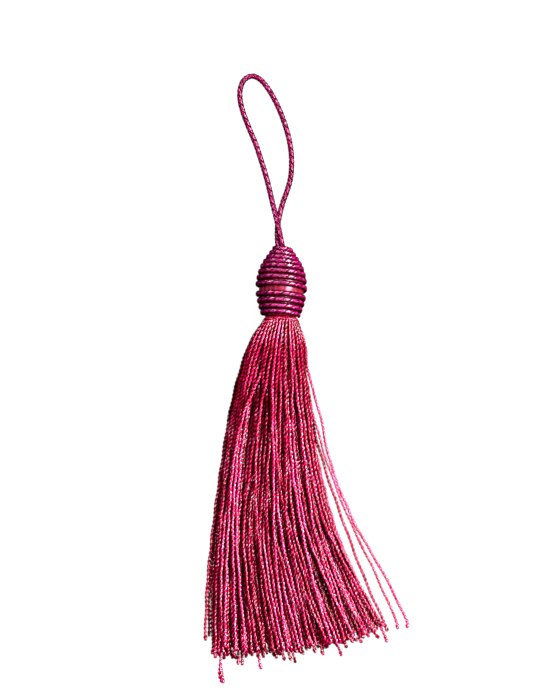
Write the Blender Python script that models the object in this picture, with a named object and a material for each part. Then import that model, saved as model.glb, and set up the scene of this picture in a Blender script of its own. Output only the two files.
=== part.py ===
"""Tassel of twisted silk cord, lying on its side on the surface z = 0.

Metres, +Z up. The head points to +Y with its hanging loop laid out beyond it,
and the skirt fans out to -Y. The origin is the middle of the rectangle that
head and skirt cover on the surface. Four pieces: the egg-shaped mould of the
head, the cord wound round it, the loop it hangs by, and the skirt, whose
strands grow out of one round heading.
"""
import math

import bmesh
import bpy
import numpy as np
from mathutils import Matrix, Vector

MM = 0.001
TOUCH_GAP = 0.3 * MM

# Cord of the loop and of the winding: two plies, twisted to the left.
CORD_DIAMETER = 1.5 * MM
PLY_TURN = 5.0 * MM
PLY_GROOVE = 0.2
CORD_SIDES = 8
CORD_STEP = 0.65 * MM

# Head: an egg that lies with its tip a little lower than its neck.
HEAD_TIP = Vector((-8.0, 72.5, 6.62)) * MM
HEAD_LENGTH = 23.7 * MM
HEAD_TILT = math.radians(8.0)
HEAD_YAW = math.radians(1.0)
HEAD_OUTLINE = (
    # from the tip, radius over the winding
    (0.0 * MM, 2.7 * MM),
    (3.0 * MM, 4.75 * MM),
    (7.0 * MM, 7.2 * MM),
    (11.0 * MM, 8.35 * MM),
    (14.5 * MM, 8.6 * MM),
    (19.0 * MM, 7.85 * MM),
    (23.7 * MM, 6.35 * MM),
)

# Winding: where each turn crosses the top of the head, from the tip.
TURN_PLACES = tuple(
    place * MM for place in (1.2, 2.65, 4.2, 5.7, 7.3, 9.2, 11.15, 13.4, 16.8, 18.8, 20.8, 22.6)
)
WRAP_DIAMETER = 1.45 * MM
WRAP_SIDES = 6
WRAP_STEPS_PER_TURN = 18
WRAP_START_TURN = -0.05
WRAP_END_TURN = 11.25

# Mould under the winding.
MOULD_SIDES = 24
MOULD_RINGS = 12
MOULD_START = 0.8 * MM
MOULD_DEPTH = 1.9 * MM

# Skirt: rings of strand roots round a middle one, under a round heading.
SEED = 7
HEADING_RADIUS = 6.4 * MM
HEADING_LENGTH = 1.2 * MM
HEADING_SIDES = 36
ROOT_RINGS = 6
ROOT_PITCH = 0.95 * MM
ROOT_SHAKE = 0.35 * MM
STATIONS = (0.0, 0.07, 0.17, 0.30, 0.46, 0.64, 0.82, 0.965, 1.0)
STRAND_WIDTHS = tuple(
    width * MM for width in (0.62, 0.76, 0.80, 0.80, 0.80, 0.80, 0.80, 0.80, 0.86)
)
LENGTH_LEFT = 114.0 * MM
LENGTH_RIGHT = 108.5 * MM
LENGTH_SPREAD = 0.7 * MM
LONG_END_SHARE = 0.1
LONG_END = 3.5 * MM

# A strand's rough course is worked out in this many steps.
COURSE_STEPS = 60

# How far the skirt's edges lean from straight down, in degrees, + to the right.
EDGE_LEAN = (
    # part of the length, left edge, right edge
    (0.00, -26.0, 8.0),
    (0.10, -20.0, 7.5),
    (0.25, -10.0, 5.5),
    (0.40, -9.0, 10.0),
    (0.55, -8.0, 14.5),
    (0.65, -6.5, 20.0),
    (0.75, -3.0, 26.0),
    (0.90, 0.0, 28.0),
    (1.00, 0.0, 28.0),
)

# Above 1, more strands lie on the left than on the right.
FAN_BIAS = 1.1

# Depth of the lying skirt at its middle, and how much thinner it is at its edges.
SKIRT_DEPTH = (
    # part of the length, depth
    (0.00, 13.0 * MM),
    (0.10, 12.5 * MM),
    (0.25, 9.5 * MM),
    (0.45, 6.6 * MM),
    (0.70, 5.2 * MM),
    (1.00, 4.2 * MM),
)
EDGE_THINNING = 0.6
SETTLED_BY = 0.28

# How far a strand strays to either side of its course, and in how many waves.
WANDER = 1.5 * MM
WANDER_WAVES = (0.5, 1.3)
WANDER_FROM = 0.3

# Strands that part from the others. Each is found by its root on the heading.
STRAYS = (
    # root across and up, length, then x at the stations from the third on, all in mm
    (-5.7, 0.0, 110.3, -21.9, -25.2, -28.0, -30.4, -32.8, -33.5, -33.6),
    (-5.6, 1.0, 123.5, -20.9, -24.0, -26.6, -28.2, -28.6, -28.0, -27.6),
    (-2.9, 4.9, 112.0, -14.7, -20.7, -23.7, -25.7, -26.7, -27.0, -27.0),
    (5.6, -1.0, 109.0, -0.6, 1.5, 6.0, 12.5, 19.4, 25.8, 27.3),
    (5.6, 1.0, 109.7, -0.3, 2.4, 7.5, 14.8, 23.3, 29.7, 30.7),
    (5.7, 0.0, 110.4, 0.8, 4.7, 8.5, 15.9, 25.9, 33.0, 33.7),
)

# The strands' places on the surface are worked out in small steps. They sink
# towards it and are parted from each other, and then they are only parted.
SETTLE_STEPS = 240
CALM_STEPS = 400
SINK_PER_STEP = 0.011 * MM
SINK_FROM = 0.12
SINK_FULLY = 0.40
SAMPLE_SPACING = 2.8 * MM
STRAND_GAP = 0.15 * MM
PUSH_SHARE = 0.6
COURSE_PULL = 0.06
NEAR_REACH = 2.8 * MM
PAIRS_EVERY = 10

# Route of the loop: out of the tip, up the right leg, round the crown, down the left leg.
ROUTE_STEPS = 12
LOOP_ROUTE = (
    # across, along, height of the cord's middle, in mm
    (-9.30, 72.1, 6.30),
    (-9.50, 74.2, 5.70),
    (-9.60, 76.5, 4.50),
    (-9.50, 79.0, 3.00),
    (-9.10, 81.6, 1.80),
    (-8.50, 84.4, 1.05),
    (-7.60, 87.6, 0.80),
    (-6.30, 91.2, 0.75),
    (-5.20, 95.2, 0.75),
    (-4.80, 99.6, 0.75),
    (-4.95, 104.0, 0.75),
    (-5.70, 108.6, 0.75),
    (-7.00, 113.2, 0.75),
    (-8.70, 117.8, 0.75),
    (-10.70, 122.0, 0.75),
    (-12.90, 125.6, 0.75),
    (-15.30, 128.3, 0.75),
    (-18.00, 129.4, 0.75),
    (-20.60, 128.1, 0.75),
    (-21.90, 125.0, 0.75),
    (-21.90, 121.2, 0.75),
    (-20.80, 116.9, 0.75),
    (-18.90, 111.9, 0.75),
    (-16.70, 106.6, 0.75),
    (-14.90, 101.2, 0.75),
    (-13.20, 95.6, 0.75),
    (-11.95, 90.6, 0.90),
    (-11.00, 86.4, 1.80),
    (-10.10, 82.9, 3.35),
    (-9.35, 79.6, 4.80),
    (-8.75, 76.9, 6.05),
    (-8.30, 74.5, 6.80),
    (-7.75, 72.1, 6.95),
)

SMOOTH_ANGLE = math.radians(45.0)


def clear_scene():
    for thing in list(bpy.data.objects):
        bpy.data.objects.remove(thing, do_unlink=True)


def silk(name, colour, roughness):
    """Material for silk yarn or satin."""
    material = bpy.data.materials.new(name)
    material.use_nodes = True
    shader = material.node_tree.nodes["Principled BSDF"]
    shader.inputs["Base Color"].default_value = (*colour, 1.0)
    shader.inputs["Roughness"].default_value = roughness
    shader.inputs["Metallic"].default_value = 0.0
    return material


def place(bm, name, material, smooth=False):
    """Turn a bmesh into a named object with its faces pointing out."""
    bmesh.ops.recalc_face_normals(bm, faces=bm.faces)
    mesh = bpy.data.meshes.new(name)
    bm.to_mesh(mesh)
    bm.free()
    if smooth:
        mesh.shade_smooth()
        mesh.set_sharp_from_angle(angle=SMOOTH_ANGLE)
    mesh.materials.append(material)
    thing = bpy.data.objects.new(name, mesh)
    bpy.context.scene.collection.objects.link(thing)
    return thing


def head_frame():
    """Frame of the head: x across, y up, z from the tip to the neck."""
    along = Vector((
        -math.sin(HEAD_YAW) * math.cos(HEAD_TILT),
        -math.cos(HEAD_YAW) * math.cos(HEAD_TILT),
        math.sin(HEAD_TILT),
    ))
    across = along.cross(Vector((0.0, 0.0, -1.0))).normalized()
    up = along.cross(across)
    frame = Matrix((across, up, along)).transposed().to_4x4()
    frame.translation = HEAD_TIP
    return frame


def smooth_value(places, values, place_wanted):
    """Value of a smooth curve through the points of an outline."""
    slopes = np.gradient(values, places)
    index = int(np.clip(np.searchsorted(places, place_wanted) - 1, 0, len(places) - 2))
    span = places[index + 1] - places[index]
    part = (place_wanted - places[index]) / span
    rise = 3.0 * part ** 2 - 2.0 * part ** 3
    leave = part ** 3 - 2.0 * part ** 2 + part
    arrive = part ** 3 - part ** 2
    return (
        values[index] * (1.0 - rise)
        + values[index + 1] * rise
        + span * (slopes[index] * leave + slopes[index + 1] * arrive)
    )


def head_radius(distance):
    places, radii = np.array(HEAD_OUTLINE).T
    return smooth_value(places, radii, distance)


def tube(rings):
    """Closed body through rings of points, with a flat face at each end."""
    bm = bmesh.new()
    loops = [[bm.verts.new(point) for point in ring] for ring in rings]
    sides = len(loops[0])
    for near, far in zip(loops, loops[1:]):
        for index in range(sides):
            following = (index + 1) % sides
            bm.faces.new((near[index], near[following], far[following], far[index]))
    bm.faces.new(loops[0])
    bm.faces.new(reversed(loops[-1]))
    return bm


def head_mould():
    """Turned egg covered in satin, which shows between the turns."""
    bm = bmesh.new()
    frame = head_frame()
    outline = []
    for ring in range(MOULD_RINGS + 1):
        share = ring / MOULD_RINGS
        distance = MOULD_START + share * (HEAD_LENGTH - MOULD_START)
        radius = head_radius(distance) - MOULD_DEPTH
        outline.append(bm.verts.new((radius, 0.0, distance)))
    edges = [bm.edges.new(pair) for pair in zip(outline, outline[1:])]
    bmesh.ops.spin(
        bm, geom=outline + edges, cent=(0.0, 0.0, 0.0), axis=(0.0, 0.0, 1.0),
        dvec=(0.0, 0.0, 0.0), angle=2.0 * math.pi, steps=MOULD_SIDES, use_merge=True,
    )
    rims = [edge for edge in bm.edges if edge.is_boundary]
    bmesh.ops.holes_fill(bm, edges=rims, sides=0)
    bmesh.ops.transform(bm, matrix=frame, verts=bm.verts)
    return place(bm, "head_mould", silk("mould_satin", (0.42, 0.03, 0.08), 0.5), smooth=True)


def head_wrap():
    """Cord wound in one spiral from the tip to the neck, flat where it rests."""
    frame = head_frame()
    turns = np.arange(len(TURN_PLACES), dtype=float)
    steps = round((WRAP_END_TURN - WRAP_START_TURN) * WRAP_STEPS_PER_TURN)
    rings = []
    for step in range(steps + 1):
        turn = WRAP_START_TURN + (WRAP_END_TURN - WRAP_START_TURN) * step / steps
        distance = smooth_value(turns, TURN_PLACES, turn)
        radius = head_radius(distance) - CORD_DIAMETER / 2
        angle = math.pi / 2 - 2.0 * math.pi * turn
        outward = Vector((math.cos(angle), math.sin(angle), 0.0))
        lengthwise = Vector((0.0, 0.0, 1.0))
        middle = outward * radius + lengthwise * distance
        ring = []
        for side in range(WRAP_SIDES):
            turned = 2.0 * math.pi * side / WRAP_SIDES
            offset = outward * math.cos(turned) + lengthwise * math.sin(turned)
            point = frame @ (middle + offset * WRAP_DIAMETER / 2)
            point.z = max(point.z, 0.0)
            ring.append(point)
        rings.append(ring)
    return place(tube(rings), "head_wrap", silk("wrap_silk", (0.36, 0.03, 0.14), 0.4), smooth=True)


def along_route(route, spacing):
    """Evenly spaced points on a smooth curve through a route."""
    route = [Vector(point) * MM for point in route]
    dense = []
    for index in range(len(route) - 1):
        before = route[max(index - 1, 0)]
        start, end = route[index], route[index + 1]
        after = route[min(index + 2, len(route) - 1)]
        for part in np.linspace(0.0, 1.0, ROUTE_STEPS, endpoint=False):
            dense.append(0.5 * (
                2.0 * start
                + (end - before) * part
                + (2.0 * before - 5.0 * start + 4.0 * end - after) * part ** 2
                + (3.0 * start - before - 3.0 * end + after) * part ** 3
            ))
    dense.append(route[-1])
    dense = np.array(dense)
    run = np.concatenate(([0.0], np.cumsum(np.linalg.norm(np.diff(dense, axis=0), axis=1))))
    wanted = np.linspace(0.0, run[-1], round(run[-1] / spacing) + 1)
    return [Vector(point) for point in np.stack([np.interp(wanted, run, axis) for axis in dense.T], 1)]


def hanging_loop():
    """Two-ply cord, out of the head's tip and back into it, laid on the surface."""
    route = along_route(LOOP_ROUTE, CORD_STEP)
    rings = []
    for index, middle in enumerate(route):
        middle.z = max(middle.z, CORD_DIAMETER / 2)
        run = (route[min(index + 1, len(route) - 1)] - route[max(index - 1, 0)]).normalized()
        across = run.cross(Vector((0.0, 0.0, 1.0))).normalized()
        up = across.cross(run)
        twist = 2.0 * math.pi * index * CORD_STEP / PLY_TURN
        ring = []
        for side in range(CORD_SIDES):
            turned = 2.0 * math.pi * side / CORD_SIDES
            reach = CORD_DIAMETER / 2 * (1.0 - PLY_GROOVE + PLY_GROOVE * math.cos(2.0 * turned))
            offset = across * math.cos(turned + twist) + up * math.sin(turned + twist)
            ring.append(middle + offset * reach)
        rings.append(ring)
    return place(tube(rings), "hanging_loop", silk("loop_silk", (0.38, 0.03, 0.16), 0.4))


def strand_roots():
    """Places of the strand roots on the heading, across and up, ring by ring."""
    roots = [(0.0, 0.0)]
    for ring in range(1, ROOT_RINGS + 1):
        count = 6 * ring
        for index in range(count):
            angle = 2.0 * math.pi * (index + 0.5 * (ring % 2)) / count
            radius = ring * ROOT_PITCH
            roots.append((radius * math.cos(angle), radius * math.sin(angle)))
    return np.array(roots)


def strand_places(roots, dice):
    """Order of the strands across the lying skirt, from 0 at the left to 1 at the right."""
    shaken = roots[:, 0] + dice.normal(0.0, ROOT_SHAKE, len(roots))
    order = np.empty(len(roots))
    for layer in (roots[:, 1] < 0.0, roots[:, 1] >= 0.0):
        members = np.nonzero(layer)[0]
        order[members[np.argsort(shaken[members])]] = np.linspace(0.0, 1.0, len(members))
    return order


def stray_strands():
    """Number, length and places across of each strand that parts from the others."""
    roots = strand_roots()
    for across, up, length, *places in STRAYS:
        stray = np.argmin(np.hypot(roots[:, 0] - across * MM, roots[:, 1] - up * MM))
        yield stray, length * MM, np.array(places) * MM


def strand_lengths(order, dice):
    lengths = LENGTH_LEFT + (LENGTH_RIGHT - LENGTH_LEFT) * order
    lengths = lengths + dice.normal(0.0, LENGTH_SPREAD, len(order))
    lengths = lengths + LONG_END * (dice.random(len(order)) < LONG_END_SHARE)
    for stray, length, _ in stray_strands():
        lengths[stray] = length
    return lengths


def strand_courses(roots, order, lengths, dice):
    """Rough course of each strand: its lean gives x, the skirt's depth z, and its length y."""
    frame = np.array(head_frame())
    heading_end = HEAD_LENGTH + TOUCH_GAP + HEADING_LENGTH
    start = frame[:3, 3] + roots @ frame[:3, :2].T + frame[:3, 2] * heading_end
    fine = np.linspace(0.0, 1.0, COURSE_STEPS + 1)
    parts, left, right = np.array(EDGE_LEAN).T
    spread = order[:, None] ** FAN_BIAS
    lean = np.interp(fine, parts, left) * (1.0 - spread) + np.interp(fine, parts, right) * spread
    lean = np.radians(lean)
    step = lengths[:, None] / COURSE_STEPS
    across = np.cumsum(np.sin(lean) * step, axis=1) - np.sin(lean[:, :1]) * step
    depth = np.interp(fine, *np.array(SKIRT_DEPTH).T)
    crown = 1.0 - EDGE_THINNING * np.abs(2.0 * order - 1.0)[:, None] ** 2
    chord = np.sqrt(np.maximum((ROOT_PITCH * (ROOT_RINGS + 0.5)) ** 2 - roots[:, 0] ** 2, 1e-9))
    level = (roots[:, 1] / chord + 1.0) / 2.0
    lying = STRAND_WIDTHS[3] / 2 + level[:, None] * depth * crown
    share = np.clip(fine / SETTLED_BY, 0.0, 1.0)
    share = share ** 2 * (3.0 - 2.0 * share)
    height = start[:, 2:3] * (1.0 - share) + lying * share
    waves = dice.uniform(*WANDER_WAVES, len(order))[:, None]
    phase = dice.uniform(0.0, 1.0, len(order))[:, None]
    inner = (1.0 - (2.0 * order[:, None] - 1.0) ** 4) * np.clip(2.0 * level - 0.8, 0.0, 1.0)[:, None]
    wander = WANDER * inner * np.sin(2.0 * math.pi * (waves * fine + phase))
    x = start[:, :1] + across + wander * np.clip(fine / WANDER_FROM, 0.0, 1.0) ** 2
    for stray, _, places in stray_strands():
        x[stray] = np.interp(fine, (0.0, *STATIONS[2:]), (start[stray, 0], *places))
    rise = np.diff(height, axis=1)
    sideways = np.diff(x, axis=1)
    down = np.sqrt(np.maximum(step ** 2 - rise ** 2 - sideways ** 2, 1e-12))
    y = start[:, 1:2] - np.concatenate((np.zeros((len(order), 1)), np.cumsum(down, axis=1)), 1)
    course = np.stack((x, y, height), 2)
    picks = np.array(STATIONS) * COURSE_STEPS
    below = np.minimum(picks.astype(int), COURSE_STEPS - 1)
    part = (picks - below)[None, :, None]
    return course[:, below] * (1.0 - part) + course[:, below + 1] * part


def sample_weights(lengths):
    """How much each station counts at samples spaced evenly along every strand."""
    arcs = np.arange(SAMPLE_SPACING, lengths.max() + SAMPLE_SPACING, SAMPLE_SPACING)
    stations = np.array(STATIONS)
    weights = np.zeros((len(lengths), len(arcs), len(stations)))
    for strand, length in enumerate(lengths):
        parts = np.minimum(arcs / length, 1.0)
        below = np.clip(np.searchsorted(stations, parts) - 1, 0, len(stations) - 2)
        share = (parts - stations[below]) / (stations[below + 1] - stations[below])
        rows = np.arange(len(arcs))
        weights[strand, rows, below] = 1.0 - share
        weights[strand, rows, below + 1] = share
    present = arcs[None, :] < lengths[:, None] + SAMPLE_SPACING
    return weights, present


def near_pairs(samples, present):
    """Pairs of strands that run close together, and the samples where they do."""
    found = []
    for strand in range(len(samples) - 1):
        others = samples[strand + 1:]
        near = np.linalg.norm(others - samples[strand], axis=2) < NEAR_REACH
        near &= present[strand + 1:] & present[strand]
        other, where = np.nonzero(near)
        found.append((np.full(len(other), strand), other + strand + 1, where))
    return (np.concatenate(column) for column in zip(*found))


def settle(points, lengths):
    """Let the strands sink to the surface and part them where they would touch."""
    weights, present = sample_weights(lengths)
    widths = np.array(STRAND_WIDTHS)
    wide = weights @ widths
    share = np.maximum(weights.sum(axis=1), 1.0)[..., None]
    stations = np.array(STATIONS)
    sink = SINK_PER_STEP * np.clip((stations - SINK_FROM) / (SINK_FULLY - SINK_FROM), 0.0, 1.0)
    course = points.copy()
    points = points.copy()
    for step in range(SETTLE_STEPS + CALM_STEPS):
        samples = np.einsum("nmk,nkc->nmc", weights, points)
        run = np.gradient(samples, axis=1)
        run /= np.linalg.norm(run, axis=2, keepdims=True) + 1e-12
        if step % PAIRS_EVERY == 0:
            first, second, where = near_pairs(samples, present)
            clear = (wide[first, where] + wide[second, where]) / math.sqrt(2.0) + STRAND_GAP
        offset = samples[first, where] - samples[second, where]
        both = run[first, where] + run[second, where]
        both /= np.linalg.norm(both, axis=1, keepdims=True)
        offset -= np.sum(offset * both, axis=1, keepdims=True) * both
        distance = np.linalg.norm(offset, axis=1) + 1e-9
        short = np.maximum(clear - distance, 0.0)
        push = offset * (short / distance * PUSH_SHARE)[:, None]
        shift = np.zeros_like(samples)
        np.add.at(shift, (first, where), push)
        np.add.at(shift, (second, where), -push)
        points[:, 1:] += (np.einsum("nmk,nmc->nkc", weights, shift) / share)[:, 1:]
        fade = 1.0 - step / SETTLE_STEPS
        if fade > 0.0:
            points[:, :, 2] -= sink * fade
            points[:, 1:, 0] += COURSE_PULL * fade * (course - points)[:, 1:, 0]
            points[:, 1:3] += COURSE_PULL * fade * (course - points)[:, 1:3]
        points[:, :, 2] = np.maximum(points[:, :, 2], widths / 2)
        points = np.round(points, 7)
    return points


def skirt():
    """Heading and strands as one body, each strand four-sided and level underneath."""
    dice = np.random.default_rng(SEED)
    roots = strand_roots()
    order = strand_places(roots, dice)
    lengths = strand_lengths(order, dice)
    stations = settle(strand_courses(roots, order, lengths, dice), lengths)

    frame = head_frame()
    bm = bmesh.new()
    heading = []
    for distance in (HEAD_LENGTH + TOUCH_GAP, HEAD_LENGTH + TOUCH_GAP + HEADING_LENGTH):
        circle = bmesh.ops.create_circle(
            bm, segments=HEADING_SIDES, radius=HEADING_RADIUS,
            matrix=frame @ Matrix.Translation((0.0, 0.0, distance)),
        )["verts"]
        heading.append(circle)
    rims = [list({edge for vert in circle for edge in vert.link_edges}) for circle in heading]
    bm.faces.new(heading[0])
    bmesh.ops.bridge_loops(bm, edges=rims[0] + rims[1])

    plate_edges = list(rims[1])
    across = frame.col[0].xyz
    up = frame.col[1].xyz
    for strand in stations:
        loops = []
        for index, width in enumerate(STRAND_WIDTHS):
            middle = Vector(strand[index])
            if index:
                run = Vector(strand[min(index + 1, len(strand) - 1)]) - Vector(strand[index - 1])
                sideways = Vector((-run.y, run.x, 0.0)).normalized() * (width / 2)
                upright = Vector((0.0, 0.0, width / 2))
            else:
                sideways = across * (width / 2)
                upright = up * (width / 2)
            corners = (-sideways - upright, sideways - upright, sideways + upright, upright - sideways)
            loops.append([bm.verts.new(middle + corner) for corner in corners])
        for near, far in zip(loops, loops[1:]):
            for side in range(4):
                following = (side + 1) % 4
                bm.faces.new((near[side], near[following], far[following], far[side]))
        bm.faces.new(loops[-1])
        root = loops[0]
        plate_edges += [bm.edges.get((root[side], root[(side + 1) % 4])) for side in range(4)]
    bmesh.ops.triangle_fill(bm, use_beauty=True, edges=plate_edges, normal=frame.col[2].xyz)
    return place(bm, "skirt", silk("skirt_silk", (0.46, 0.02, 0.09), 0.4))


clear_scene()
head_mould()
head_wrap()
hanging_loop()
skirt()
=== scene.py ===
"""Silk tassel lying on a pale table: hanging loop, wound head and a skirt of twisted strands."""
import math

import bpy
import numpy as np
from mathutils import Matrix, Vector


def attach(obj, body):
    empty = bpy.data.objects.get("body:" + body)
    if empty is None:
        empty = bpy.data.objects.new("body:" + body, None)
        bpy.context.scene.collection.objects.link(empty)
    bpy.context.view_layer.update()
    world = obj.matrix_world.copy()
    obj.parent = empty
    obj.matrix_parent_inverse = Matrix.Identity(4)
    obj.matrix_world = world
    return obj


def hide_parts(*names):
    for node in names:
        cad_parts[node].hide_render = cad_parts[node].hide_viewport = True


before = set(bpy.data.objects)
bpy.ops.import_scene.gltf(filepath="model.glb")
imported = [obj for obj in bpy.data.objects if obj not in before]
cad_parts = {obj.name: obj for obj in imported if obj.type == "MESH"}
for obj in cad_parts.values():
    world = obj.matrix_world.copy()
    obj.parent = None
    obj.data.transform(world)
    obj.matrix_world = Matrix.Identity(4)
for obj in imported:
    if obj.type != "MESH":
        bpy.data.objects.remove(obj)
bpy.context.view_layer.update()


# Hanging loop
# A silk cord of two plies, twisted to the left, each ply a bundle of five fine yarns.
# It is bent double, and both of its ends are glued into the tip of the head.
MM = 0.001
CORD_WIDTH = 1.5 * MM
PLY_TURN = 5.0 * MM
PLY_REACH = 0.27 * MM
PLY_HALF_DEPTH = 0.50 * MM
PLY_HALF_BREADTH = 0.70 * MM
YARNS_IN_PLY = 5
YARN_TURN = -2.7 * MM
YARN_RIDGE = 0.25
YARN_LEVEL = 0.8
# YARN_SHADE, FLANK_SHADE and GROOVE_SHADE set painted shade: between the yarns, on the cord's flanks
# and lower side, and in the groove between the plies.
YARN_SHADE = 0.35
FLANK_SHADE = 3.0
GROOVE_SHADE = 0.2
BLOTCH = 0.3
BLOTCH_SCALE = 2000.0
BLOTCH_RANGE = (0.3, 0.7)
FIBRE_STRETCH = 4.0
FIBRE_OFFSET = 7.3 * MM
FIBRE_RELIEF = 0.06 * MM
FIBRE_STRENGTH = 0.45
FIBRE_GRAIN = 4000.0
NOISE_DETAIL = 3.0
SILK_TINT = (1.0, 0.7, 0.9, 1.0)
ROUGHNESS_SPREAD = 0.05
# Faces whose painted shade falls below SHADED_BELOW take a dull, rough copy of their silk, so the
# painted shade takes away their gloss as well.
SHADED_BELOW = 0.13
SHADED_GLOSS = 0.04
SHADED_ROUGHNESS = 0.5
CORD_ROUGHNESS = 0.20
LOOP_GLOSS = 0.2
LOOP_SIZE = 1.18
# LOOP_SHADE paints the whole loop darker than the winding of the same cord: painted shade.
LOOP_SHADE = 0.8
LOOP_SIDES = 20
LOOP_STEP = 0.13 * MM
ROUTE_PARTS = 24
LOOP_ROUTE = (
    # across, along, height of the cord's middle, in mm
    (-9.30, 72.1, 6.30),
    (-9.50, 74.2, 5.70),
    (-9.60, 76.5, 4.50),
    (-9.50, 79.0, 3.00),
    (-9.10, 81.6, 1.80),
    (-8.50, 84.4, 1.05),
    (-7.60, 87.6, 0.80),
    (-6.30, 91.2, 0.75),
    (-5.20, 95.2, 0.75),
    (-4.80, 99.6, 0.75),
    (-4.95, 104.0, 0.75),
    (-5.70, 108.6, 0.75),
    (-7.00, 113.2, 0.75),
    (-8.70, 117.8, 0.75),
    (-10.70, 122.0, 0.75),
    (-12.90, 125.6, 0.75),
    (-15.30, 128.3, 0.75),
    (-18.00, 129.4, 0.75),
    (-20.60, 128.1, 0.75),
    (-21.90, 125.0, 0.75),
    (-21.90, 121.2, 0.75),
    (-20.80, 116.9, 0.75),
    (-18.90, 111.9, 0.75),
    (-16.70, 106.6, 0.75),
    (-14.90, 101.2, 0.75),
    (-13.20, 95.6, 0.75),
    (-11.95, 90.6, 0.90),
    (-11.00, 86.4, 1.80),
    (-10.10, 82.9, 3.35),
    (-9.35, 79.6, 4.80),
    (-8.75, 76.9, 6.05),
    (-8.30, 74.5, 6.80),
    (-7.75, 72.1, 6.95),
)


def even_points(route, spacing):
    """Points at an even spacing on a smooth curve through a route."""
    route = np.asarray(route, float)
    ends = np.vstack((2 * route[0] - route[1], route, 2 * route[-1] - route[-2]))
    dense = []
    for before, start, end, after in zip(ends, ends[1:], ends[2:], ends[3:]):
        part = np.linspace(0.0, 1.0, ROUTE_PARTS, endpoint=False)[:, None]
        dense.append(0.5 * (
            2.0 * start
            + (end - before) * part
            + (2.0 * before - 5.0 * start + 4.0 * end - after) * part ** 2
            + (3.0 * start - before - 3.0 * end + after) * part ** 3
        ))
    dense = np.vstack(dense + [route[-1:]])
    run = np.concatenate(([0.0], np.cumsum(np.linalg.norm(np.diff(dense, axis=0), axis=1))))
    wanted = np.linspace(0.0, run[-1], round(run[-1] / spacing) + 1)
    return np.stack([np.interp(wanted, run, axis) for axis in dense.T], 1), wanted


def unit(vectors):
    """The same directions, one metre long."""
    return vectors / np.linalg.norm(vectors, axis=-1, keepdims=True)


def cross_axes(points, up):
    """Axes across a cord at each of its points: to its side, and up."""
    run = unit(np.gradient(points, axis=0))
    side = unit(np.cross(run, up))
    return side, np.cross(side, run)


def skin(name, bundles, shades, material, shaded=None):
    """One mesh of closed tubes; each bundle is an array of rings of points, with their shades.

    The fibres of the silk run along a tube, so its length is drawn in where their place is
    kept, and each tube has a place of its own. The shades are painted light and shade, and the
    faces where they are low, in a groove or under other threads, take the shaded material, a
    dull copy of the silk that paints their shade into the gloss as well.
    """
    points, faces, values, fibres = [], [], [], []
    count = 0
    for rings, shade in zip(bundles, shades):
        number, sides = rings.shape[:2]
        points.append(rings.reshape(-1, 3))
        values.append(np.broadcast_to(shade, (number, sides)).ravel())
        middle = rings.mean(axis=1, keepdims=True)
        place = rings - middle + middle / FIBRE_STRETCH + len(points) * FIBRE_OFFSET
        fibres.append(place.reshape(-1, 3))
        grid = count + np.arange(number * sides).reshape(number, sides)
        near, far = grid[:-1], grid[1:]
        quads = np.stack((near, np.roll(near, -1, 1), np.roll(far, -1, 1), far), -1)
        faces += quads.reshape(-1, 4).tolist()
        faces.append(grid[0, ::-1].tolist())
        faces.append(grid[-1].tolist())
        count += number * sides
    mesh = bpy.data.meshes.new(name)
    mesh.from_pydata(np.vstack(points).tolist(), [], faces)
    # The shade attribute carries painted light and shade: light on crowns and crests, shade in
    # grooves, on flanks and under other threads.
    mesh.attributes.new("shade", "FLOAT", "POINT").data.foreach_set("value", np.concatenate(values))
    fibre = mesh.attributes.new("fibre", "FLOAT_VECTOR", "POINT")
    fibre.data.foreach_set("vector", np.vstack(fibres).ravel())
    mesh.shade_smooth()
    mesh.materials.append(material)
    if shaded:
        mesh.materials.append(shaded)
        # Faces in deep painted shade take the dull copy of the silk.
        in_painted_shade = np.concatenate(values) < SHADED_BELOW
        mesh.polygons.foreach_set("material_index", [int(in_painted_shade[face[0]]) for face in faces])
    piece = bpy.data.objects.new(name, mesh)
    bpy.context.scene.collection.objects.link(piece)
    return piece


def plies(points, run, side, up, sides, size=1.0, phase=0.0, flank=FLANK_SHADE):
    """Rings of the two plies of a cord, with the ridges of their yarns, and their shades.

    The painted shade falls into the groove between the plies, and from the upper side to the lower;
    painted light lies on the crests of the yarns.
    """
    turned = np.linspace(0.0, 2.0 * math.pi, sides, endpoint=False)
    rings, shades = [], []
    for start in (0.0, math.pi):
        twist = phase + start + 2.0 * math.pi * run / PLY_TURN
        outward = side * np.cos(twist)[:, None] + up * np.sin(twist)[:, None]
        around = up * np.cos(twist)[:, None] - side * np.sin(twist)[:, None]
        middle = points + outward * PLY_REACH * size
        yarn = YARNS_IN_PLY * (turned[None, :] - 2.0 * math.pi * run[:, None] / YARN_TURN)
        crest = np.abs(np.cos(yarn / 2.0))
        ridge = size * (1.0 + YARN_RIDGE * (crest - YARN_LEVEL))
        ring = (
            middle[:, None]
            + outward[:, None] * (PLY_HALF_DEPTH * np.cos(turned) * ridge)[..., None]
            + around[:, None] * (PLY_HALF_BREADTH * np.sin(turned) * ridge)[..., None]
        )
        rings.append(ring)
        # Painted shade on the ply: darker from the upper side to the lower and into the groove between
        # the plies, lighter on the crests of the yarns.
        height = np.sum((ring - points[:, None]) * up[:, None], axis=2)
        height = height / (size * (PLY_REACH + PLY_HALF_DEPTH))
        open_side = np.clip(height, 0.0, 1.0) ** flank
        groove = (0.5 + 0.5 * np.cos(turned)) ** GROOVE_SHADE
        shades.append(groove * (YARN_SHADE + (1.0 - YARN_SHADE) * crest) * open_side)
    return rings, shades


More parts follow.
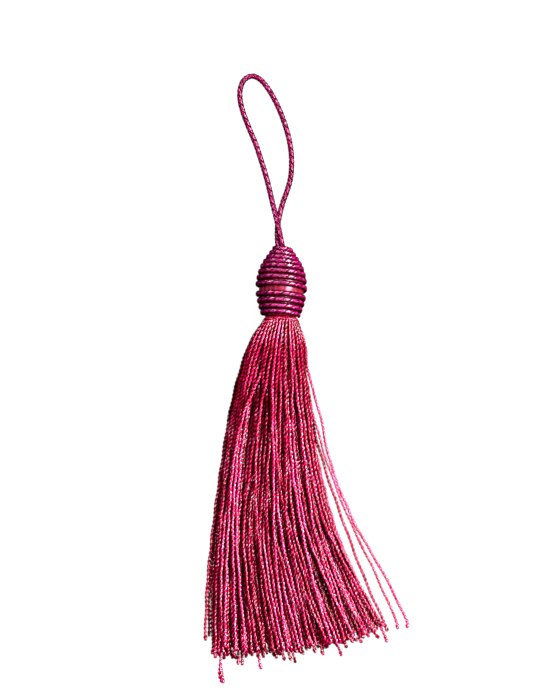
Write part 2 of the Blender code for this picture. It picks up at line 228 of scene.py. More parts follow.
def silk(name, tones, roughness, gloss, grain):
    """Lustrous silk: its colour runs over a ramp of painted light and shade, from painted shade in the
    deepest groove to a painted sheen on a crown, with fine blotches.
    """
    material = bpy.data.materials.new(name)
    material.use_nodes = True
    nodes, links = material.node_tree.nodes, material.node_tree.links
    shader = nodes["Principled BSDF"]
    shader.inputs["Specular IOR Level"].default_value = gloss
    shader.inputs["Specular Tint"].default_value = SILK_TINT
    # The shade attribute brings the painted light and shade into the colour ramp.
    shade = nodes.new("ShaderNodeAttribute")
    shade.attribute_name = "shade"
    place = nodes.new("ShaderNodeAttribute")
    place.attribute_name = "fibre"
    blotch = nodes.new("ShaderNodeTexNoise")
    blotch.inputs["Scale"].default_value = BLOTCH_SCALE
    blotch.inputs["Detail"].default_value = NOISE_DETAIL
    links.new(place.outputs["Vector"], blotch.inputs["Vector"])
    uneven = nodes.new("ShaderNodeMapRange")
    uneven.inputs["From Min"].default_value = BLOTCH_RANGE[0]
    uneven.inputs["From Max"].default_value = BLOTCH_RANGE[1]
    uneven.inputs["To Min"].default_value = -BLOTCH
    uneven.inputs["To Max"].default_value = BLOTCH
    links.new(blotch.outputs["Fac"], uneven.inputs["Value"])
    share = nodes.new("ShaderNodeMath")
    share.operation = "ADD"
    links.new(shade.outputs["Fac"], share.inputs[0])
    links.new(uneven.outputs["Result"], share.inputs[1])
    colour = nodes.new("ShaderNodeValToRGB")
    steps = colour.color_ramp.elements
    while len(steps) < len(tones):
        steps.new(0.5)
    for step, (position, tone) in zip(steps, tones):
        step.position = position
        step.color = (*tone, 1.0)
    links.new(share.outputs["Value"], colour.inputs["Fac"])
    links.new(colour.outputs["Color"], shader.inputs["Base Color"])
    fuzz = nodes.new("ShaderNodeTexNoise")
    fuzz.inputs["Scale"].default_value = grain
    fuzz.inputs["Detail"].default_value = NOISE_DETAIL
    links.new(place.outputs["Vector"], fuzz.inputs["Vector"])
    bump = nodes.new("ShaderNodeBump")
    bump.inputs["Strength"].default_value = FIBRE_STRENGTH
    bump.inputs["Distance"].default_value = FIBRE_RELIEF
    links.new(fuzz.outputs["Fac"], bump.inputs["Height"])
    links.new(bump.outputs["Normal"], shader.inputs["Normal"])
    finish = nodes.new("ShaderNodeMapRange")
    finish.inputs["To Min"].default_value = roughness - ROUGHNESS_SPREAD
    finish.inputs["To Max"].default_value = roughness + ROUGHNESS_SPREAD
    links.new(fuzz.outputs["Fac"], finish.inputs["Value"])
    links.new(finish.outputs["Result"], shader.inputs["Roughness"])
    return material


# The cord's own magenta in the middle of the ramp, running down to painted shade near black and up to
# a painted pinker sheen on the crowns.
CORD_TONES = (
    (0.0, (0.010, 0.0, 0.0)), (0.3, (0.045, 0.0, 0.005)),
    (0.75, (0.17, 0.002, 0.060)), (1.0, (0.30, 0.02, 0.14)),
)
loop_silk = silk("loop_silk", CORD_TONES, CORD_ROUGHNESS, LOOP_GLOSS, FIBRE_GRAIN)
# The dull copy of the cord's silk, for faces in deep painted shade.
cord_shaded = silk("cord_silk_shaded", CORD_TONES, SHADED_ROUGHNESS, SHADED_GLOSS, FIBRE_GRAIN)
loop_points, loop_run = even_points(np.array(LOOP_ROUTE) * MM, LOOP_STEP)
loop_points[:, 2] = np.maximum(loop_points[:, 2], LOOP_SIZE * CORD_WIDTH / 2)
loop_side, loop_up = cross_axes(loop_points, (0.0, 0.0, 1.0))
loop_rings, loop_shades = plies(loop_points, loop_run, loop_side, loop_up, LOOP_SIDES, size=LOOP_SIZE)
# Painted shade: the loop is drawn darker as a whole.
loop_shades = [LOOP_SHADE * shade for shade in loop_shades]
loop = skin("hanging_loop_cord", loop_rings, loop_shades, loop_silk, cord_shaded)
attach(loop, "root")
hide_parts("hanging_loop")


# Mould of the head
# A turned wooden egg covered in crimson satin, drawn together in fine pleats at tip
# and neck. It lies with its tip a little lower than its neck and shows between the turns.
HEAD_TIP = Vector((-8.0, 72.5, 6.62)) * MM
HEAD_LENGTH = 23.7 * MM
HEAD_TILT = math.radians(8.0)
HEAD_YAW = math.radians(1.0)
HEAD_OUTLINE = (
    # from the tip, radius over the winding
    (0.0 * MM, 2.7 * MM),
    (3.0 * MM, 4.75 * MM),
    (7.0 * MM, 7.2 * MM),
    (11.0 * MM, 8.35 * MM),
    (14.5 * MM, 8.6 * MM),
    (19.0 * MM, 7.85 * MM),
    (23.7 * MM, 6.35 * MM),
)
MOULD_START = 0.8 * MM
MOULD_DEPTH = 1.2 * MM
MOULD_SIDES = 96
MOULD_RINGS = 48
PLEATS = 26
PLEAT_DEPTH = 0.03 * MM
# PLEAT_SHADE paints shade in the valleys of the pleats and light on their ridges; SATIN_SHADE sets the
# satin's painted level.
PLEAT_SHADE = 0.15
SATIN_SHADE = 0.5
SATIN_ROUGHNESS = 0.30
SATIN_GLOSS = 0.4
SATIN_GRAIN = 2500.0


def smooth_values(places, values, wanted):
    """Values of a smooth curve through the points of an outline."""
    places, values = np.asarray(places), np.asarray(values)
    slopes = np.gradient(values, places)
    index = np.clip(np.searchsorted(places, wanted) - 1, 0, len(places) - 2)
    span = places[index + 1] - places[index]
    part = (wanted - places[index]) / span
    rise = 3.0 * part ** 2 - 2.0 * part ** 3
    leave = part ** 3 - 2.0 * part ** 2 + part
    arrive = part ** 3 - part ** 2
    return (
        values[index] * (1.0 - rise) + values[index + 1] * rise
        + span * (slopes[index] * leave + slopes[index + 1] * arrive)
    )


def head_radius(distance):
    """Radius over the winding at a distance from the tip."""
    places, radii = np.array(HEAD_OUTLINE).T
    return smooth_values(places, radii, distance)


head_along = np.array((
    -math.sin(HEAD_YAW) * math.cos(HEAD_TILT),
    -math.cos(HEAD_YAW) * math.cos(HEAD_TILT),
    math.sin(HEAD_TILT),
))
head_across = unit(np.cross(head_along, (0.0, 0.0, -1.0)))
head_up = np.cross(head_along, head_across)


def on_head(across, up, distance):
    """Points on the tassel from distances across, up and along its tilted head."""
    return (
        np.array(HEAD_TIP) + np.asarray(across)[..., None] * head_across
        + np.asarray(up)[..., None] * head_up + np.asarray(distance)[..., None] * head_along
    )


# The satin's colour is its own crimson painted darker, as shade for the gaps between the turns, with
# painted shade in the pleats' valleys and painted light on their ridges.
mould_satin = silk(
    "mould_satin",
    ((0.0, (0.03, 0.0, 0.001)), (0.5, (0.11, 0.003, 0.012)), (1.0, (0.26, 0.03, 0.06))),
    SATIN_ROUGHNESS, SATIN_GLOSS, SATIN_GRAIN,
)
mould_distance = np.linspace(MOULD_START, HEAD_LENGTH, MOULD_RINGS)[:, None]
mould_angle = np.linspace(0.0, 2.0 * math.pi, MOULD_SIDES, endpoint=False)[None, :]
mould_radius = head_radius(mould_distance) - MOULD_DEPTH - PLEAT_DEPTH * np.cos(PLEATS * mould_angle)
mould = skin(
    "head_mould_cover",
    [on_head(
        mould_radius * np.cos(mould_angle),
        mould_radius * np.sin(mould_angle),
        mould_distance + 0.0 * mould_angle,
    )],
    [SATIN_SHADE - PLEAT_SHADE * np.cos(PLEATS * mould_angle)],
    mould_satin,
)
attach(mould, "root")
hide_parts("head_mould")


# Winding of the head
# The same cord, wound from the tip to the neck in one spiral. The turns lie close at the
# tip and apart over the belly, where the satin shows; they are glued to the mould.
TURN_PLACES = tuple(
    place * MM for place in (1.2, 2.65, 4.2, 5.7, 7.3, 9.2, 11.15, 13.4, 16.8, 18.8, 20.8, 22.6)
)
WRAP_START_TURN = -0.3
WRAP_END_TURN = 11.25
WRAP_STEP = 0.16 * MM
WRAP_SIDES = 14
WRAP_SIZE = 1.2
# WRAP_FLANK paints the winding's flanks dark, as shade between the turns.
WRAP_FLANK = 6.0
WRAP_FLATNESS = 0.3
WRAP_PHASE = 1.0
WRAP_ROUTE_POINTS = 3000
WRAP_GLOSS = 0.4

turn = np.linspace(WRAP_START_TURN, WRAP_END_TURN, WRAP_ROUTE_POINTS)
turn_distance = smooth_values(np.arange(len(TURN_PLACES), dtype=float), TURN_PLACES, turn)
turn_radius = head_radius(turn_distance) - CORD_WIDTH / 2 * WRAP_SIZE * (1.0 - WRAP_FLATNESS)
turn_angle = math.pi / 2 - 2.0 * math.pi * turn
wrap_route = on_head(turn_radius * np.cos(turn_angle), turn_radius * np.sin(turn_angle), turn_distance)
wrap_length = np.concatenate(([0.0], np.cumsum(np.linalg.norm(np.diff(wrap_route, axis=0), axis=1))))
wrap_run = np.linspace(0.0, wrap_length[-1], round(wrap_length[-1] / WRAP_STEP))
wrap_points = np.stack([np.interp(wrap_run, wrap_length, axis) for axis in wrap_route.T], 1)
wrap_angle = np.interp(wrap_run, wrap_length, turn_angle)
wrap_outward = np.cos(wrap_angle)[:, None] * head_across + np.sin(wrap_angle)[:, None] * head_up
wrap_side, wrap_up = cross_axes(wrap_points, wrap_outward)
wrap_rings, wrap_shades = plies(
    wrap_points, wrap_run, wrap_side, wrap_up, WRAP_SIDES,
    size=WRAP_SIZE, phase=WRAP_PHASE, flank=WRAP_FLANK,
)
for rings in wrap_rings:
    lift = np.sum((rings - wrap_points[:, None]) * wrap_up[:, None], axis=2, keepdims=True)
    rings -= WRAP_FLATNESS * lift * wrap_up[:, None]
    rings[..., 2] = np.maximum(rings[..., 2], 0.0)
wrap_silk = silk("wrap_silk", CORD_TONES, CORD_ROUGHNESS, WRAP_GLOSS, FIBRE_GRAIN)
wrap = skin("head_winding", wrap_rings, wrap_shades, wrap_silk, cord_shaded)
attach(wrap, "root")
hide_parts("head_wrap")


# Heading of the skirt
# The rolled tape that the strands are sewn into, crimson, pushed up against the mould.
TOUCH_GAP = 0.3 * MM
HEADING_LENGTH = 1.2 * MM
HEADING_RADIUS = 6.1 * MM
HEADING_PROFILE = (
    # part of the heading's length, part of its radius
    (0.0, 0.8),
    (0.08, 0.88),
    (0.3, 0.91),
    (0.6, 0.95),
    (0.9, 1.0),
    (1.0, 0.97),
)
HEADING_RIBS = 44
RIB_POINTS = 6
RIB_DEPTH = 0.13 * MM
RIB_SLANT = 0.09
# RIB_SHADE and HEADING_SHADE paint light on the crests of the ribs and shade between them.
RIB_SHADE = 0.3
HEADING_SHADE = 0.3
SKIRT_ROUGHNESS = 0.09
SKIRT_GLOSS = 1.0

# The strands' own crimson in the middle of the ramp, running down to painted shade near black and up
# to a painted pink sheen on the crowns.
SKIRT_TONES = (
    (0.0, (0.012, 0.0, 0.0)), (0.3, (0.10, 0.0, 0.001)),
    (0.7, (0.42, 0.001, 0.045)), (1.0, (0.6, 0.02, 0.14)),
)
skirt_silk = silk("skirt_silk", SKIRT_TONES, SKIRT_ROUGHNESS, SKIRT_GLOSS, FIBRE_GRAIN)
# The dull copy of the skirt's silk, for faces in deep painted shade.
skirt_shaded = silk("skirt_silk_shaded", SKIRT_TONES, SHADED_ROUGHNESS, SHADED_GLOSS, FIBRE_GRAIN)
heading_part, heading_fall = np.array(HEADING_PROFILE).T
heading_distance = HEAD_LENGTH + TOUCH_GAP + HEADING_LENGTH * heading_part
heading_angle = np.linspace(0.0, 2.0 * math.pi, RIB_POINTS * HEADING_RIBS, endpoint=False)[None, :]
heading_slant = RIB_SLANT * np.linspace(0.0, 1.0, len(HEADING_PROFILE))[:, None]
heading_rib = np.cos(HEADING_RIBS * (heading_angle + heading_slant))
heading_radius = HEADING_RADIUS * heading_fall[:, None] + RIB_DEPTH * heading_rib
heading = skin(
    "skirt_heading",
    [on_head(
        heading_radius * np.cos(heading_angle),
        heading_radius * np.sin(heading_angle),
        heading_distance[:, None] + 0.0 * heading_angle,
    )],
    [HEADING_SHADE + RIB_SHADE * heading_rib],
    skirt_silk,
    skirt_shaded,
)
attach(heading, "root")
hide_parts("skirt")


# Strands of the skirt
# Cords of two plies twisted to the right, each doubled back on itself, so that it ends in
# a small round eye. They leave the heading in a round bunch, sink to the table and fan out.
SEED = 7
ROOT_RINGS = 6
ROOTS_IN_FIRST_RING = 6
ROOT_PITCH = 0.95 * MM
ROOT_SHAKE = 0.35 * MM
STATIONS = (0.0, 0.07, 0.17, 0.30, 0.46, 0.64, 0.82, 0.965, 1.0)
ROOM_WIDTHS = tuple(
    width * MM for width in (0.62, 0.76, 0.80, 0.80, 0.80, 0.80, 0.80, 0.80, 0.86)
)
LENGTH_LEFT = 114.0 * MM
LENGTH_RIGHT = 108.5 * MM
LENGTH_SPREAD = 0.7 * MM
LONG_END_SHARE = 0.1
LONG_END = 3.5 * MM
COURSE_STEPS = 60
EDGE_LEAN = (
    # part of the length, left edge, right edge, in degrees, + to the right
    (0.00, -26.0, 8.0),
    (0.10, -20.0, 7.5),
    (0.25, -10.0, 5.5),
    (0.40, -9.0, 10.0),
    (0.55, -8.0, 14.5),
    (0.65, -6.5, 20.0),
    (0.75, -3.0, 26.0),
    (0.90, 0.0, 28.0),
    (1.00, 0.0, 28.0),
)
FAN_BIAS = 1.1
SKIRT_DEPTH = (
    # part of the length, depth at the middle
    (0.00, 13.0 * MM),
    (0.10, 12.5 * MM),
    (0.25, 9.5 * MM),
    (0.45, 6.6 * MM),
    (0.70, 5.2 * MM),
    (1.00, 4.2 * MM),
)
EDGE_THINNING = 0.6
SETTLED_BY = 0.28
WANDER = 1.5 * MM
WANDER_WAVES = (0.5, 1.3)
WANDER_FROM = 0.3
INNER_RISE = 2.0
INNER_START = 0.8
STRAYS = (
    # root across and up, length, then x at the stations from the third on, all in mm
    (-5.7, 0.0, 110.3, -21.9, -25.2, -28.0, -30.4, -32.8, -33.5, -33.6),
    (-5.6, 1.0, 123.5, -20.9, -24.0, -26.6, -28.2, -28.6, -28.0, -27.6),
    (-2.9, 4.9, 112.0, -14.7, -20.7, -23.7, -25.7, -26.7, -27.0, -27.0),
    (5.6, -1.0, 109.0, -0.6, 1.5, 6.0, 12.5, 19.4, 25.8, 27.3),
    (5.6, 1.0, 109.7, -0.3, 2.4, 7.5, 14.8, 23.3, 29.7, 30.7),
    (5.7, 0.0, 110.4, 0.8, 4.7, 8.5, 15.9, 25.9, 33.0, 33.7),
)
SETTLE_STEPS = 240
CALM_STEPS = 400
SINK_PER_STEP = 0.011 * MM
SINK_FROM = 0.12
SINK_FULLY = 0.40
SAMPLE_SPACING = 2.8 * MM
STRAND_GAP = 0.15 * MM
PUSH_SHARE = 0.6
COURSE_PULL = 0.06
NEAR_REACH = 2.8 * MM
PAIRS_EVERY = 10


def strand_roots():
    """Places of the strand roots on the heading, across and up, ring by ring."""
    roots = [(0.0, 0.0)]
    for ring in range(1, ROOT_RINGS + 1):
        count = ROOTS_IN_FIRST_RING * ring
        for index in range(count):
            angle = 2.0 * math.pi * (index + 0.5 * (ring % 2)) / count
            roots.append((ring * ROOT_PITCH * math.cos(angle), ring * ROOT_PITCH * math.sin(angle)))
    return np.array(roots)


def strand_order(roots, dice):
    """Place of each strand across the lying skirt, from 0 at the left to 1 at the right."""
    shaken = roots[:, 0] + dice.normal(0.0, ROOT_SHAKE, len(roots))
    order = np.empty(len(roots))
    for layer in (roots[:, 1] < 0.0, roots[:, 1] >= 0.0):
        members = np.nonzero(layer)[0]
        order[members[np.argsort(shaken[members])]] = np.linspace(0.0, 1.0, len(members))
    return order


def stray_strands():
    """Number, length and places across of each strand that parts from the others."""
    roots = strand_roots()
    for across, up, length, *places in STRAYS:
        stray = np.argmin(np.hypot(roots[:, 0] - across * MM, roots[:, 1] - up * MM))
        yield stray, length * MM, np.array(places) * MM


def strand_lengths(order, dice):
    """Length of each strand: shorter to the right, a few longer than their neighbours."""
    lengths = LENGTH_LEFT + (LENGTH_RIGHT - LENGTH_LEFT) * order
    lengths = lengths + dice.normal(0.0, LENGTH_SPREAD, len(order))
    lengths = lengths + LONG_END * (dice.random(len(order)) < LONG_END_SHARE)
    for stray, length, _ in stray_strands():
        lengths[stray] = length
    return lengths


def strand_courses(roots, order, lengths, dice):
    """Rough course of each strand: its lean gives x, the skirt's depth z, its length y."""
    heading_end = HEAD_LENGTH + TOUCH_GAP + HEADING_LENGTH
    start = on_head(roots[:, 0], roots[:, 1], np.full(len(roots), heading_end))
    fine = np.linspace(0.0, 1.0, COURSE_STEPS + 1)
    parts, left, right = np.array(EDGE_LEAN).T
    spread = order[:, None] ** FAN_BIAS
    lean = np.interp(fine, parts, left) * (1.0 - spread) + np.interp(fine, parts, right) * spread
    lean = np.radians(lean)
    step = lengths[:, None] / COURSE_STEPS
    across = np.cumsum(np.sin(lean) * step, axis=1) - np.sin(lean[:, :1]) * step
    depth = np.interp(fine, *np.array(SKIRT_DEPTH).T)
    crown = 1.0 - EDGE_THINNING * np.abs(2.0 * order - 1.0)[:, None] ** 2
    chord = np.sqrt(np.maximum((ROOT_PITCH * (ROOT_RINGS + 0.5)) ** 2 - roots[:, 0] ** 2, 1e-9))
    level = (roots[:, 1] / chord + 1.0) / 2.0
    lying = ROOM_WIDTHS[3] / 2 + level[:, None] * depth * crown
    share = np.clip(fine / SETTLED_BY, 0.0, 1.0)
    share = share ** 2 * (3.0 - 2.0 * share)
    height = start[:, 2:3] * (1.0 - share) + lying * share
    waves = dice.uniform(*WANDER_WAVES, len(order))[:, None]
    phase = dice.uniform(0.0, 1.0, len(order))[:, None]
    inner = 1.0 - (2.0 * order[:, None] - 1.0) ** 4
    inner = inner * np.clip(INNER_RISE * level - INNER_START, 0.0, 1.0)[:, None]
    wander = WANDER * inner * np.sin(2.0 * math.pi * (waves * fine + phase))
    x = start[:, :1] + across + wander * np.clip(fine / WANDER_FROM, 0.0, 1.0) ** 2
    for stray, _, places in stray_strands():
        x[stray] = np.interp(fine, (0.0, *STATIONS[2:]), (start[stray, 0], *places))
    rise = np.diff(height, axis=1)
    sideways = np.diff(x, axis=1)
    down = np.sqrt(np.maximum(step ** 2 - rise ** 2 - sideways ** 2, 1e-12))
    y = start[:, 1:2] - np.concatenate((np.zeros((len(order), 1)), np.cumsum(down, axis=1)), 1)
    course = np.stack((x, y, height), 2)
    picks = np.array(STATIONS) * COURSE_STEPS
    below = np.minimum(picks.astype(int), COURSE_STEPS - 1)
    part = (picks - below)[None, :, None]
    return course[:, below] * (1.0 - part) + course[:, below + 1] * part


def sample_weights(lengths):
    """How much each station counts at samples spaced evenly along every strand."""
    arcs = np.arange(SAMPLE_SPACING, lengths.max() + SAMPLE_SPACING, SAMPLE_SPACING)
    stations = np.array(STATIONS)
    weights = np.zeros((len(lengths), len(arcs), len(stations)))
    for strand, length in enumerate(lengths):
        parts = np.minimum(arcs / length, 1.0)
        below = np.clip(np.searchsorted(stations, parts) - 1, 0, len(stations) - 2)
        share = (parts - stations[below]) / (stations[below + 1] - stations[below])
        rows = np.arange(len(arcs))
        weights[strand, rows, below] = 1.0 - share
        weights[strand, rows, below + 1] = share
    present = arcs[None, :] < lengths[:, None] + SAMPLE_SPACING
    return weights, present


def near_pairs(samples, present):
    """Pairs of strands that run close together, and the samples where they do."""
    found = []
    for strand in range(len(samples) - 1):
        others = samples[strand + 1:]
        near = np.linalg.norm(others - samples[strand], axis=2) < NEAR_REACH
        near &= present[strand + 1:] & present[strand]
        other, where = np.nonzero(near)
        found.append((np.full(len(other), strand), other + strand + 1, where))
    return (np.concatenate(column) for column in zip(*found))


def settle(points, lengths):
    """Let the strands sink to the table and part them where they would touch."""
    weights, present = sample_weights(lengths)
    widths = np.array(ROOM_WIDTHS)
    wide = weights @ widths
    share = np.maximum(weights.sum(axis=1), 1.0)[..., None]
    stations = np.array(STATIONS)
    sink = SINK_PER_STEP * np.clip((stations - SINK_FROM) / (SINK_FULLY - SINK_FROM), 0.0, 1.0)
    course = points.copy()
    points = points.copy()
    for step in range(SETTLE_STEPS + CALM_STEPS):
        samples = np.einsum("nmk,nkc->nmc", weights, points)
        run = np.gradient(samples, axis=1)
        run /= np.linalg.norm(run, axis=2, keepdims=True) + 1e-12
        if step % PAIRS_EVERY == 0:
            first, second, where = near_pairs(samples, present)
            clear = (wide[first, where] + wide[second, where]) / math.sqrt(2.0) + STRAND_GAP
        offset = samples[first, where] - samples[second, where]
        both = run[first, where] + run[second, where]
        both /= np.linalg.norm(both, axis=1, keepdims=True)
        offset -= np.sum(offset * both, axis=1, keepdims=True) * both
        distance = np.linalg.norm(offset, axis=1) + 1e-9
        short = np.maximum(clear - distance, 0.0)
        push = offset * (short / distance * PUSH_SHARE)[:, None]
        shift = np.zeros_like(samples)
        np.add.at(shift, (first, where), push)
        np.add.at(shift, (second, where), -push)
        points[:, 1:] += (np.einsum("nmk,nmc->nkc", weights, shift) / share)[:, 1:]
        fade = 1.0 - step / SETTLE_STEPS
        if fade > 0.0:
            # All stations are drawn back across to the course, the first two in height as well.
            points[:, :, 2] -= sink * fade
            points[:, 1:, 0] += COURSE_PULL * fade * (course - points)[:, 1:, 0]
            points[:, 1:3] += COURSE_PULL * fade * (course - points)[:, 1:3]
        points[:, :, 2] = np.maximum(points[:, :, 2], widths / 2)
        points = np.round(points, 7)
    return points


STRAND_WIDTH = 1.08 * MM
WIDTH_SPREAD = 0.06
STRAND_TURN = 2.9 * MM
TURN_SPREAD = 0.12
STRAND_STEP = 0.42 * MM
STRAND_SIDES = 8
STRAND_GROOVE = 0.5
# STRAND_SHADE and CROWN_SHADE paint light on the crowns of the plies and shade in their grooves;
# LOWER_SHADE, STRAND_FLANK and NECK_SHADE paint shade on the flanks, the underside and near the neck.
STRAND_SHADE = 0.16
CROWN_SHADE = 0.84
LOWER_SHADE = 0.15
NECK_NARROWING = 0.2
NECK_REACH = 10.0 * MM
NECK_SHADE = 0.2
STRAND_FLANK = 1.4
SHADE_SPREAD = 0.13
# DEEP_SHADE, the COVER values and OPEN_ENDS set painted shade where other strands lie above, kept open
# at the ends.
DEEP_SHADE = 0.2
COVER_REACH = 1.0 * MM
COVER_RISE = 0.3 * MM
COVER_LENGTH = 4.0 * MM
COVER_SHADE = 2.0
OPEN_ENDS = 0.65
END_SWELL = 0.32
KNOB_SWELL = 0.95
KNOB_LENGTH = 8.0 * MM
END_LENGTH = 2.4 * MM
END_ROUND = 0.7 * MM
END_STEPS = (0.9, 0.6, 0.35, 0.15, 0.0)
RIPPLE = 0.12 * MM
RIPPLE_LENGTH = (7.0 * MM, 16.0 * MM)
SKIRT_PIECES = 5
FILLER_STEP = 0.6 * MM
FILLER_SIDES = 6
FILLER_LIFT = (0.55 * MM, 1.1 * MM)
FILLER_SHORTER = 0.97
FILLER_SUNK_FROM = 3


def strand_rings(points, run, width, turn, phase, sides=STRAND_SIDES, end=(END_SWELL, END_LENGTH)):
    """Rings of one twisted strand, with its round eye at the end, and their painted light and shade.
    """
    side, up = cross_axes(points, (0.0, 0.0, 1.0))
    left = run[-1] - run
    swell = 1.0 + end[0] * np.clip(2.0 - 2.0 * left / end[1], 0.0, 1.0)
    tip = np.sqrt(np.clip(1.0 - (1.0 - left / END_ROUND).clip(0.0, 1.0) ** 2, 0.02, 1.0))
    turned = np.linspace(0.0, 2.0 * math.pi, sides, endpoint=False)
    reach = width / 2 * (1.0 - STRAND_GROOVE + STRAND_GROOVE * np.abs(np.cos(turned)))
    angle = phase - 2.0 * math.pi * run[:, None] / turn + turned
    neck = np.clip(1.0 - run / NECK_REACH, 0.0, 1.0)
    reach = (reach * (swell * tip * (1.0 - NECK_NARROWING * neck))[:, None])[..., None]
    out = side[:, None] * np.cos(angle)[..., None] + up[:, None] * np.sin(angle)[..., None]
    # Painted light on the crowns of the plies, painted shade in their grooves, on the strand's flanks
    # and underside, and near the neck.
    crown = 0.5 + 0.5 * np.cos(2.0 * turned)
    open_side = np.sin(angle).clip(0.0, 1.0) ** STRAND_FLANK * (1.0 - NECK_SHADE * neck)[:, None]
    shade = (STRAND_SHADE + CROWN_SHADE * crown) * (LOWER_SHADE + (1.0 - LOWER_SHADE) * open_side)
    return points[:, None] + out * reach, shade


def open_share(stations):
    """How open to the light each strand is at its stations, as painted shade: less where others lie
    above it, more at the ends.
    """
    aside = np.abs(stations[:, None, :, 0] - stations[None, :, :, 0])
    along = np.abs(stations[:, None, :, 1] - stations[None, :, :, 1])
    higher = stations[None, :, :, 2] - stations[:, None, :, 2] > COVER_RISE
    beside = np.clip(1.0 - aside / COVER_REACH, 0.0, 1.0)
    cover = np.sum(beside * higher * (along < COVER_LENGTH), axis=1)
    share = DEEP_SHADE + (1.0 - DEEP_SHADE) * np.exp(-COVER_SHADE * cover)
    share[:, -2:] = np.maximum(share[:, -2:], OPEN_ENDS)
    return share


dice = np.random.default_rng(SEED)
roots = strand_roots()
order = strand_order(roots, dice)
lengths = strand_lengths(order, dice)
stations = settle(strand_courses(roots, order, lengths, dice), lengths)
strands, shades = [], []
for strand, length, openly in zip(stations, lengths, open_share(stations)):
    points, run = even_points(strand, STRAND_STEP)
    close = np.concatenate((run[:-1], run[-1] - np.array(END_STEPS) * STRAND_STEP))
    points = np.stack([np.interp(close, run, axis) for axis in points.T], 1)
    width = STRAND_WIDTH * (1.0 + dice.normal(0.0, WIDTH_SPREAD))
    turn = STRAND_TURN * (1.0 + dice.uniform(-TURN_SPREAD, TURN_SPREAD))
    for axis in (0, 2):
        wave = close / dice.uniform(*RIPPLE_LENGTH) + dice.uniform(0.0, 1.0)
        grown = np.clip(close / RIPPLE_LENGTH[1], 0.0, 1.0)
        points[:, axis] += RIPPLE * grown * np.sin(2.0 * math.pi * wave)
    points[:, 2] = np.maximum(points[:, 2], width / 2)
    rings, shade = strand_rings(
        points, close, width, turn, dice.uniform(0.0, 2.0 * math.pi),
        end=(KNOB_SWELL, KNOB_LENGTH) if length == lengths.max() else (END_SWELL, END_LENGTH),
    )
    strands.append(rings)
    shade = shade + dice.uniform(-SHADE_SPREAD, SHADE_SPREAD)
    # Painted shade where other strands lie above, along the strand.
    shades.append(shade * np.interp(close / close[-1], STATIONS, openly)[:, None])
for number in range(SKIRT_PIECES):
    part = slice(number, None, SKIRT_PIECES)
    piece = skin(f"skirt_strands_{number + 1}", strands[part], shades[part], skirt_silk, skirt_shaded)
    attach(piece, "root")
    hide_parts("skirt")

# Strands of the lowest layer, which close the gaps under the others, painted dark all along as shade
# under them.
parted = [stray for stray, _, places in stray_strands() if places[-1] > 0.0]
lowest = np.nonzero(roots[:, 1] < 1e-9)[0]
lowest = np.array([strand for strand in lowest[np.argsort(order[lowest])] if strand not in parted])
fillers, filler_shades = [], []
for left, right in zip(lowest, lowest[1:]):
    between = (stations[left] + stations[right]) / 2
    between[FILLER_SUNK_FROM:, 2] = dice.uniform(*FILLER_LIFT)
    points, run = even_points(between, FILLER_STEP)
    points = points[:round(len(points) * FILLER_SHORTER)]
    run = run[:len(points)]
    rings, shade = strand_rings(
        points, run, STRAND_WIDTH, STRAND_TURN, dice.uniform(0.0, 2.0 * math.pi), FILLER_SIDES
    )
    fillers.append(rings)
    # Painted shade: the lowest strands are darkened all along.
    filler_shades.append(shade * DEEP_SHADE)
under = skin("skirt_lowest_strands", fillers, filler_shades, skirt_silk, skirt_shaded)
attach(under, "root")
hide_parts("skirt")


# Table, light and camera
# A pale table, a soft light low on the upper right with a weaker strip beside it, two
# strips beyond the head for the sheen of its turns, and a camera straight above the tassel.
TABLE_SIZE = 6.0
TABLE_GREY = 0.03
TABLE_ROUGHNESS = 0.7
TABLE_GLOW = 0.94
ROOM_LIGHT = 0.012
VIEW_CENTRE = Vector((-8.67, 38.17, 0.0)) * MM
VIEW_HEIGHT = 233.33 * MM
CAMERA_RISE = 1.2
SENSOR_HEIGHT = 36.0

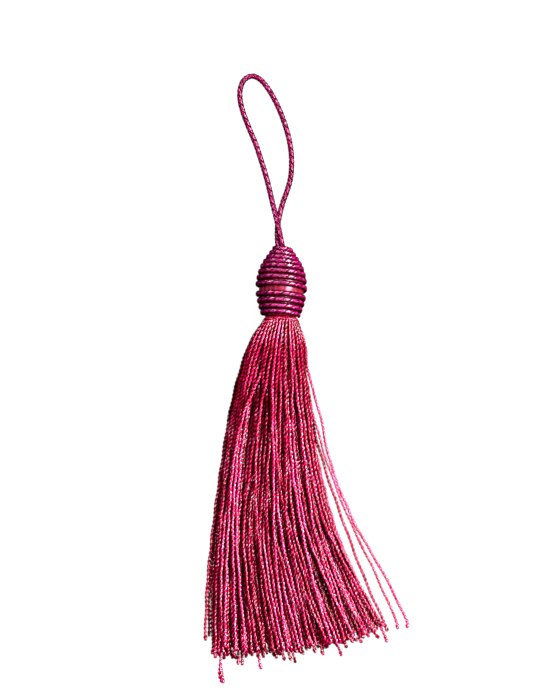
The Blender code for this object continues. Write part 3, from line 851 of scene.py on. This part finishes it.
bpy.ops.mesh.primitive_plane_add(size=TABLE_SIZE)
table = bpy.context.object
table.name = "table"
table_paint = bpy.data.materials.new("table_paint")
table_paint.use_nodes = True
paint = table_paint.node_tree.nodes["Principled BSDF"]
paint.inputs["Base Color"].default_value = (TABLE_GREY, TABLE_GREY, TABLE_GREY, 1.0)
paint.inputs["Roughness"].default_value = TABLE_ROUGHNESS
paint.inputs["Emission Color"].default_value = (1.0, 1.0, 1.0, 1.0)
paint.inputs["Emission Strength"].default_value = TABLE_GLOW
table.data.materials.append(table_paint)
table.visible_diffuse = False
table.visible_glossy = False


def lamp(name, place, aim, width, height, power):
    """A flat soft lamp of a width and height in metres, turned to what it lights."""
    light = bpy.data.lights.new(name, "AREA")
    light.shape = "RECTANGLE"
    light.size = width
    light.size_y = height
    light.energy = power
    thing = bpy.data.objects.new(name, light)
    thing.location = place
    thing.rotation_euler = (Vector(aim) - Vector(place)).to_track_quat("-Z", "Y").to_euler()
    bpy.context.scene.collection.objects.link(thing)


lamp("key_light", (0.60, 0.34, 0.58), VIEW_CENTRE, 0.35, 0.3, 32.0)
lamp("side_strip", (0.44, -0.08, 0.74), VIEW_CENTRE, 0.7, 0.07, 15.0)
lamp("head_strip", (0.0, 0.60, 0.68), VIEW_CENTRE, 1.5, 0.06, 14.0)
lamp("far_strip", (-0.55, 0.65, 0.35), VIEW_CENTRE, 0.5, 0.06, 8.0)

world = bpy.data.worlds.new("studio")
world.use_nodes = True
world.node_tree.nodes["Background"].inputs["Color"].default_value = (1.0, 1.0, 1.0, 1.0)
world.node_tree.nodes["Background"].inputs["Strength"].default_value = ROOM_LIGHT
bpy.context.scene.world = world
bpy.context.scene.view_settings.view_transform = "Standard"

camera = bpy.data.objects.new("camera", bpy.data.cameras.new("camera"))
camera.location = VIEW_CENTRE + Vector((0.0, 0.0, CAMERA_RISE))
camera.data.sensor_fit = "VERTICAL"
camera.data.sensor_height = SENSOR_HEIGHT
camera.data.lens = SENSOR_HEIGHT * CAMERA_RISE / VIEW_HEIGHT
camera.data.clip_start = 0.01
bpy.context.scene.collection.objects.link(camera)
bpy.context.scene.camera = camera
